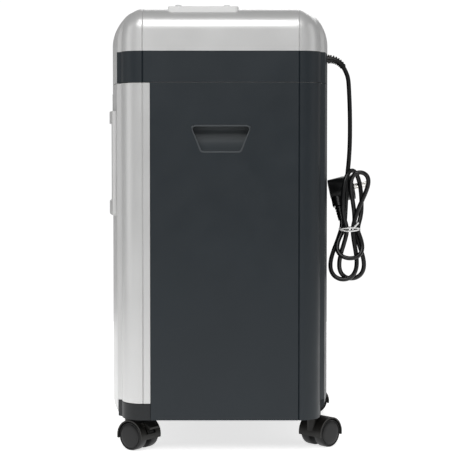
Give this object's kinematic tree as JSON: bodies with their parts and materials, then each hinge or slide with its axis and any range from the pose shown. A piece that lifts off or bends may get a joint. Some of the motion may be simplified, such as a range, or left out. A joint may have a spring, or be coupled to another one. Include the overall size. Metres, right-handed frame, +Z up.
{
  "type": "paper shredder",
  "caption": "Free-standing office paper shredder on casters, with a cross-cut head, a pull-out waste bin with a smoked window, and a tied mains cord.",
  "frame": {"origin": "on the floor, under the middle of the housing", "axes": "+Z up; -Y is the front, where the bin pulls out; +X is the right-hand side seen from the front"},
  "size_m": [0.391, 0.3793, 0.6245],
  "materials": {
    "silver_shell": "silver-grey satin paint",
    "pale_panel": "pale silver moulding, fine grain",
    "dark_shell": "near-black moulding with a fine grain",
    "black_moulding": "black moulding",
    "steel_sheet": "zinc-plated sheet steel",
    "bright_steel": "ground steel",
    "idler_plastic": "natural gear plastic",
    "bronze": "sintered bronze",
    "motor_steel": "dark motor steel",
    "circuit_board": "green board",
    "smoked_pane": "smoked clear plastic",
    "bucket_plastic": "dark grey moulding",
    "button_plastic": "pale glossy buttons",
    "lens": "coloured clear lenses",
    "cord_rubber": "black flexible cord and mouldings",
    "plated_pins": "nickel-plated pins",
    "white_tie": "white plastic-covered wire tie",
    "caster_hood": "brown-black nylon",
    "caster_wheel": "dark grey nylon wheels"
  },
  "bodies": {
    "cabinet": {"back_panel": "dark_shell", "base_tray": "black_moulding", "bin_rails": "black_moulding", "comb_front": "black_moulding", "comb_rear": "black_moulding", "control_board": "circuit_board", "cord_hank": "cord_rubber", "cord_lead": "cord_rubber", "cord_tie": "white_tie", "cutter_plate_left": "steel_sheet", "cutter_plate_right": "steel_sheet", "feed_panel": "pale_panel", "feed_throat": "black_moulding", "front_fascia": "silver_shell", "gearbox_plate": "steel_sheet", "hand_grip_left": "black_moulding", "hand_grip_right": "black_moulding", "head_screws": "bright_steel", "head_shell": "dark_shell", "indicator_lenses": "lens", "interlock_switch": "black_moulding", "motor_housing": "motor_steel", "paper_sensor": "black_moulding", "plug": "cord_rubber", "plug_pins": "plated_pins", "shaft_bushes": "bronze", "side_panel_left": "dark_shell", "side_panel_right": "dark_shell", "strain_relief": "cord_rubber", "tie_rods": "bright_steel", "top_cover": "silver_shell", "top_frame": "steel_sheet"},
    "bin": {"bin_front": "silver_shell", "bin_pull": "black_moulding", "window_frame": "silver_shell", "window_pane": "smoked_pane", "bin_bucket": "bucket_plastic"},
    "front_cutter": {"cutter_shaft_front": "bright_steel", "cutter_gear_front": "bright_steel"},
    "rear_cutter": {"cutter_shaft_rear": "bright_steel", "cutter_gear_rear": "bright_steel", "drive_gear": "bright_steel"},
    "idler": {"idler_gear": "idler_plastic"},
    "rotor": {"motor_rotor": "motor_steel"},
    "power_button": {"power_button": "button_plastic"},
    "reverse_button": {"reverse_button": "button_plastic"},
    "caster_front_right": {"caster_housing_front_right": "caster_hood", "caster_pins_front_right": "bright_steel"},
    "wheels_front_right": {"caster_wheels_front_right": "caster_wheel"},
    "caster_rear_right": {"caster_housing_rear_right": "caster_hood", "caster_pins_rear_right": "bright_steel"},
    "wheels_rear_right": {"caster_wheels_rear_right": "caster_wheel"},
    "caster_front_left": {"caster_housing_front_left": "caster_hood", "caster_pins_front_left": "bright_steel"},
    "wheels_front_left": {"caster_wheels_front_left": "caster_wheel"},
    "caster_rear_left": {"caster_housing_rear_left": "caster_hood", "caster_pins_rear_left": "bright_steel"},
    "wheels_rear_left": {"caster_wheels_rear_left": "caster_wheel"},
    "brake_front_right": {"brake_lever_front_right": "caster_hood"},
    "brake_front_left": {"brake_lever_front_left": "caster_hood"}
  },
  "joints": [
    {"name": "bin_slide", "type": "slide", "parent": "cabinet", "child": "bin", "axis": [0, -1, 0], "range_m": [0, 0.26]},
    {"name": "rear_cutter_spin", "type": "hinge", "parent": "cabinet", "child": "rear_cutter", "pos_m": [0, -0.0185, 0.56], "axis": [1, 0, 0], "continuous": true},
    {"name": "front_cutter_spin", "type": "hinge", "parent": "cabinet", "child": "front_cutter", "pos_m": [0, -0.0515, 0.56], "axis": [1, 0, 0], "continuous": true},
    {"name": "idler_spin", "type": "hinge", "parent": "cabinet", "child": "idler", "pos_m": [0, 0.0235, 0.56], "axis": [1, 0, 0], "continuous": true},
    {"name": "motor_spin", "type": "hinge", "parent": "cabinet", "child": "rotor", "pos_m": [0, 0.05774, 0.55272], "axis": [1, 0, 0], "continuous": true},
    {"name": "power_button_press", "type": "slide", "parent": "cabinet", "child": "power_button", "axis": [0, 0, -1], "range_m": [0, 0.0015], "stiffness_N_per_m": 500, "springref_m": -0.0006},
    {"name": "reverse_button_press", "type": "slide", "parent": "cabinet", "child": "reverse_button", "axis": [0, 0, -1], "range_m": [0, 0.0015], "stiffness_N_per_m": 500, "springref_m": -0.0006},
    {"name": "front_right_swivel", "type": "hinge", "parent": "cabinet", "child": "caster_front_right", "pos_m": [0.136, -0.13, 0.045], "axis": [0, 0, 1], "continuous": true},
    {"name": "front_right_roll", "type": "hinge", "parent": "caster_front_right", "child": "wheels_front_right", "pos_m": [0.14623, -0.11642, 0.02], "axis": [0.7986, -0.6018, 0], "continuous": true},
    {"name": "front_right_brake", "type": "hinge", "parent": "caster_front_right", "child": "brake_front_right", "pos_m": [0.15646, -0.10285, 0.037], "axis": [-0.7986, 0.6018, 0], "range_deg": [0, 9]},
    {"name": "rear_right_swivel", "type": "hinge", "parent": "cabinet", "child": "caster_rear_right", "pos_m": [0.136, 0.13, 0.045], "axis": [0, 0, 1], "continuous": true},
    {"name": "rear_right_roll", "type": "hinge", "parent": "caster_rear_right", "child": "wheels_rear_right", "pos_m": [0.1243, 0.14233, 0.02], "axis": [0.7254, 0.6884, 0], "continuous": true},
    {"name": "front_left_swivel", "type": "hinge", "parent": "cabinet", "child": "caster_front_left", "pos_m": [-0.136, -0.13, 0.045], "axis": [0, 0, 1], "continuous": true},
    {"name": "front_left_roll", "type": "hinge", "parent": "caster_front_left", "child": "wheels_front_left", "pos_m": [-0.12047, -0.12309, 0.02], "axis": [0.4067, -0.9135, 0], "continuous": true},
    {"name": "front_left_brake", "type": "hinge", "parent": "caster_front_left", "child": "brake_front_left", "pos_m": [-0.10494, -0.11617, 0.037], "axis": [-0.4067, 0.9135, 0], "range_deg": [0, 9]},
    {"name": "rear_left_swivel", "type": "hinge", "parent": "cabinet", "child": "caster_rear_left", "pos_m": [-0.136, 0.13, 0.045], "axis": [0, 0, 1], "continuous": true},
    {"name": "rear_left_roll", "type": "hinge", "parent": "caster_rear_left", "child": "wheels_rear_left", "pos_m": [-0.13837, 0.14683, 0.02], "axis": [0.9903, 0.1392, 0], "continuous": true}
  ],
  "couplings": [
    {"joint": "front_cutter_spin", "follows": "rear_cutter_spin", "ratio": -1},
    {"joint": "idler_spin", "follows": "rear_cutter_spin", "ratio": -3},
    {"joint": "motor_spin", "follows": "rear_cutter_spin", "ratio": 12}
  ]
}
